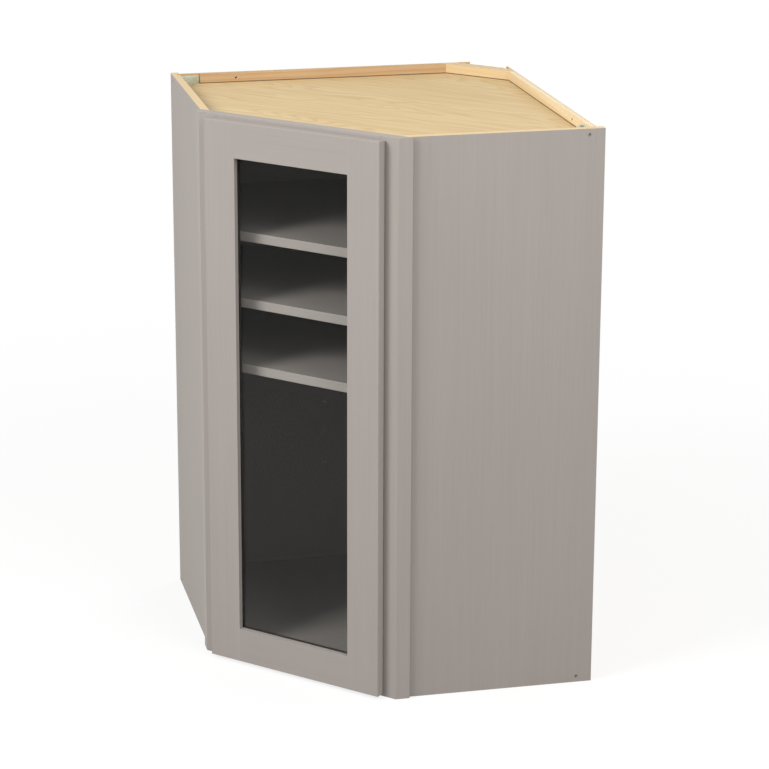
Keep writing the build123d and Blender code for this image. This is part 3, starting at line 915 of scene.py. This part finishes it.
def make_screw(head_height, length, sunk):
    """Cross-recessed screw along Z. Its head's underside lies at 0, or its top when it is sunk."""
    deselect()
    base = -head_height if sunk else 0.0
    level = base + head_height
    sliver = head_height * 0.01
    tip = SHAFT_RADIUS * 2
    shaft = length - tip - (head_height if sunk else 0.0)
    bpy.ops.mesh.primitive_cylinder_add(
        vertices=32,
        radius=HEAD_RADIUS,
        depth=head_height,
        location=(0, 0, base + head_height / 2),
    )
    screw = bpy.context.object
    bpy.ops.object.transform_apply(location=True, rotation=False, scale=False)
    bpy.ops.object.mode_set(mode="EDIT")
    select_where(screw, "EDGE", lambda edge: all(v.co.z > level - sliver for v in edge.verts))
    bpy.ops.mesh.bevel(offset=head_height * CROWN, segments=4, affect="EDGES")
    select_where(
        screw,
        "FACE",
        lambda face: face.calc_center_median().z < base + sliver and face.normal.z < -0.9,
    )
    bpy.ops.mesh.inset(thickness=HEAD_RADIUS - SHAFT_RADIUS, depth=0)
    bpy.ops.mesh.extrude_region_move(TRANSFORM_OT_translate={"value": (0, 0, -shaft)})
    bpy.ops.mesh.extrude_region_move(TRANSFORM_OT_translate={"value": (0, 0, -tip)})
    bpy.ops.transform.resize(
        value=(POINT, POINT, 1.0), center_override=(0, 0, base - shaft - tip)
    )
    bpy.ops.object.mode_set(mode="OBJECT")
    cut_recess(screw, level, head_height)
    bpy.ops.object.shade_smooth_by_angle(angle=SHARP)
    return screw


def face_to_row(across, inwards, level):
    """A point given along the face frame, inwards from its front and up, in millimetres."""
    spin = Matrix.Rotation(-TURN, 3, "Z")
    return spin @ Vector((across * MM, inwards * MM, level * MM)) + FACE_CENTRE


def hinge_screws(across, inwards, step, direction):
    """Each hinge's two screws, above and below its middle: place, direction of the head."""
    return [
        (face_to_row(across, inwards, level + offset), direction)
        for level in HINGE_LEVELS
        for offset in (-step, step)
    ]


def set_screws(pattern, places, name, body, node, material):
    """Copies a screw to each (place, direction of its head) and joins them into one piece."""
    copies = []
    for k, (spot, direction) in enumerate(places):
        copy = pattern.copy()
        copy.data = pattern.data.copy()
        bpy.context.scene.collection.objects.link(copy)
        turn = Matrix.Rotation(SCREW_TURNS[k % len(SCREW_TURNS)], 4, "Z")
        lean = Vector(direction).to_track_quat("Z", "Y").to_matrix().to_4x4()
        copy.data.transform(Matrix.Translation(spot) @ lean @ turn)
        copies.append(copy)
    deselect()
    for copy in copies:
        copy.select_set(True)
    bpy.context.view_layer.objects.active = copies[0]
    bpy.ops.object.join()
    piece = bpy.context.object
    bpy.data.objects.remove(pattern)
    finish_piece(piece, name, body, node, material)


# ---------------------------------------------------------------- the cabinet's boards

rims = [(UP, bottom), (UP, top)]

for node in ("frame_left_stile", "frame_right_stile", "door_hinge_stile", "door_latch_stile"):
    dress(node, painted(node, "Z"))
for node in ("frame_bottom_rail", "frame_top_rail", "door_bottom_rail", "door_top_rail"):
    dress(node, painted(node, "X"))
for node in ("frame_left_stile", "frame_right_stile", "frame_bottom_rail", "frame_top_rail"):
    ease_edges(node, FRAME_EASE)
for node in ("lower_shelf", "middle_shelf", "upper_shelf"):
    dress(node, lit_and_shaded_shelf(node))
    ease_edges(node, SHELF_EASE)

for side, across_end, across_back, inward, to_wall, shift in (
    ("right", "X", "Y", LEFT, BACK, (0.0, 0.1, -0.25)),
    ("left", "Y", "X", BACK, LEFT, (0.3, 0.05, 0.3)),
):
    end = side + "_end_panel"
    cuts = rims + [end_plane(end, to_wall)]
    dress(end, painted_ply(side + "_end_finish", end, across_end, inward, cuts))
    ease_edges(end, PANEL_EASE)
    back = side + "_back_panel"
    cuts = rims + [end_plane(back, inward)]
    dress(back, back_ply(side + "_back_finish", back, across_back, to_wall, cuts, shift))

board = "corner_back_board"
shift = (0.1, 0.2, -0.3)
dress(board, back_ply("corner_board_finish", board, "Y", TO_CORNER, rims, shift, shade_holes=False))
for node, outward, shift in (
    ("top_panel", UP, (0.1, -0.06, -0.96)),
    ("bottom_panel", DOWN, (1.2, 0.1, 0.07)),
):
    dress(node, deck_ply(node, outward, shift))

seam_shade_levels = (box_in("top_left_nailer")[0].z, box_in("bottom_left_nailer")[1].z)
for side, kind, grain, shift in (
    ("right", "light_maple", "X", (0.0, -0.30, 0.02)),
    ("corner", "corner_maple", "X", (0.0, 0.05, 0.02)),
    ("left", "brown_strip", "Y", (0.0, 0.30, 0.02)),
):
    wood = nailer_wood(kind, grain, shift, seam_shade_levels, in_corner=side == "corner")
    for level in ("top", "bottom"):
        node = level + "_" + side + "_nailer"
        dress(node, wood)
        ease_edges(node, NAILER_EASE)

dress("door_glass", clear_glass())
# the beads are dark vinyl, darker also as painted shade behind the glass
vinyl_and_shade = moulded_plastic("dark_vinyl_and_shade", VINYL_AND_SHADE, darker(VINYL_AND_SHADE, 0.8), 0.5)
for node in ("side_glazing_beads", "end_glazing_beads"):
    dress(node, vinyl_and_shade)


# ---------------------------------------------------------------- its small parts and screws

nickel = plated_steel("nickel_plate", NICKEL, 0.26)
zinc = plated_steel("zinc_plate", ZINC, 0.32)
milky = moulded_plastic("milky_plastic", BRACE_PALE, BRACE_DEEP, 0.38)
rubber = moulded_plastic("clear_bumper", BUMPER_PALE, BUMPER_DEEP, 0.3)
for node, name, body, slot, material, width, segments in (
    ("hinge_cups", "hinge_cup_set", "door", "hinge_steel", nickel, 0.3, 2),
    ("hinge_pins", "hinge_pin_set", "door", "hinge_steel", nickel, 0.2, 2),
    ("hinge_arms", "hinge_arm_set", "cabinet", "hinge_steel", nickel, 0.3, 2),
    ("shelf_pins", "shelf_pin_set", "cabinet", "pin_steel", nickel, 0.5, 3),
    ("corner_braces", "corner_brace_set", "cabinet", "brace_plastic", milky, 0.5, 2),
    ("door_bumpers", "door_bumper_set", "door", "bumper_rubber", rubber, 0.3, 2),
):
    rounded_copy(node, name, body, material, width * MM, segments)

cup_places = hinge_screws(CUP_SCREW_ACROSS, CUP_SCREW_INWARDS, CUP_SCREW_STEP, TO_CORNER)
arm_places = hinge_screws(ARM_SCREW_ACROSS, ARM_SCREW_INWARDS, ARM_SCREW_STEP, ALONG_FACE)
brace_places = []
for level in BRACE_SCREW_LEVELS:
    spot = Vector((BRACE_SCREW_SEAT, BRACE_SCREW_OFF_WALL, level)) * MM
    brace_places.append((spot, RIGHT))
    spot = Vector((-BRACE_SCREW_OFF_WALL, -BRACE_SCREW_SEAT, level)) * MM
    brace_places.append((spot, FRONT))

cup_screw = make_screw(PAN_HEIGHT, CUP_SCREW_LENGTH, sunk=False)
set_screws(cup_screw, cup_places, "cup_screw_set", "door", "cup_screws", zinc)
arm_screw = make_screw(PAN_HEIGHT, ARM_SCREW_LENGTH, sunk=False)
set_screws(
    arm_screw, arm_places, "arm_screw_set", "cabinet", "hinge_arm_screws", zinc
)
set_screws(
    make_screw(SUNK_HEIGHT, BRACE_SCREW_LENGTH, sunk=True),
    brace_places,
    "brace_screw_set",
    "cabinet",
    "brace_screws",
    painted_over_screw(),
)


# ---------------------------------------------------------------- floor, light and camera


def seen_rays(tree):
    """1 for rays that show a surface to the camera, directly, in a gloss or through the pane."""
    rays = place(tree, "LightPath").outputs
    kinds = ("Is Camera Ray", "Is Glossy Ray", "Is Transmission Ray")
    return folded(tree, "MAXIMUM", [rays[kind] for kind in kinds])


def make_floor():
    deselect()
    bpy.ops.mesh.primitive_circle_add(
        vertices=96,
        radius=FLOOR_RADIUS,
        fill_type="NGON",
        location=(0, 0, bottom - FLOOR_DROP),
    )
    floor = bpy.context.object
    floor.name = "floor"
    material, tree = new_material("white_floor")
    far = between(tree, vector_maths(tree, "LENGTH", object_vector(tree)), *FLOOR_FADE)
    share = mixed_value(tree, far, FLOOR_GLOW, 1.0)
    glow = place(tree, "Emission", {"Color": gray(1), "Strength": share})
    lit = maths(tree, "SUBTRACT", 1.0, share)
    matte = place(
        tree, "BsdfDiffuse", {"Color": blended(tree, lit, gray(0), gray(FLOOR_WHITE))}
    )
    white = place(tree, "AddShader", {0: glow.outputs[0], 1: matte.outputs[0]})
    bounce = place(tree, "BsdfDiffuse", {"Color": gray(FLOOR_BOUNCE)})
    mixed = place(
        tree, "MixShader", {0: seen_rays(tree), 1: bounce.outputs[0], 2: white.outputs[0]}
    )
    place(tree, "OutputMaterial", {"Surface": mixed.outputs[0]})
    floor.data.materials.append(material)


def make_sky():
    """White to the camera, and dimmer where it only lights the cabinet."""
    world = bpy.data.worlds.new("studio")
    world.use_nodes = True
    bpy.context.scene.world = world
    tree = world.node_tree
    tree.nodes.clear()
    strength = mixed_value(tree, seen_rays(tree), SKY_STRENGTH, 1.0)
    background = place(tree, "Background", {"Color": gray(1), "Strength": strength})
    place(tree, "OutputWorld", {"Surface": background.outputs[0]})


def direction_at(azimuth, elevation):
    """The direction at an azimuth, counted from the front, and an elevation, in degrees."""
    azimuth, elevation = math.radians(azimuth), math.radians(elevation)
    return Vector(
        (
            math.sin(azimuth) * math.cos(elevation),
            -math.cos(azimuth) * math.cos(elevation),
            math.sin(elevation),
        )
    )


def set_up(name, data, spot, backward):
    """Adds a lamp or a camera at a spot. It looks away from the direction backward."""
    thing = bpy.data.objects.new(name, data)
    bpy.context.scene.collection.objects.link(thing)
    thing.location = spot
    thing.rotation_mode = "QUATERNION"
    thing.rotation_quaternion = (-backward).to_track_quat("-Z", "Y")
    return thing


def make_lamp(name, azimuth, elevation, distance, size, power):
    data = bpy.data.lights.new(name, "AREA")
    data.shape = "SQUARE"
    data.size = size
    data.energy = power
    middle = Vector((0.0, 0.0, (top + bottom) / 2))
    backward = direction_at(azimuth, elevation)
    set_up(name, data, middle + backward * distance, backward)


def make_camera():
    data = bpy.data.cameras.new("camera")
    data.lens = CAMERA_LENS
    data.sensor_width = SENSOR
    data.sensor_fit = "HORIZONTAL"
    data.shift_x, data.shift_y = CAMERA_SHIFT
    backward = direction_at(CAMERA_AZIMUTH, CAMERA_ELEVATION)
    bpy.context.scene.camera = set_up("camera", data, CAMERA_PLACE, backward)


make_floor()
make_sky()
for lamp in LAMPS:
    make_lamp(*lamp)
make_camera()
bpy.context.scene.view_settings.view_transform = "Standard"
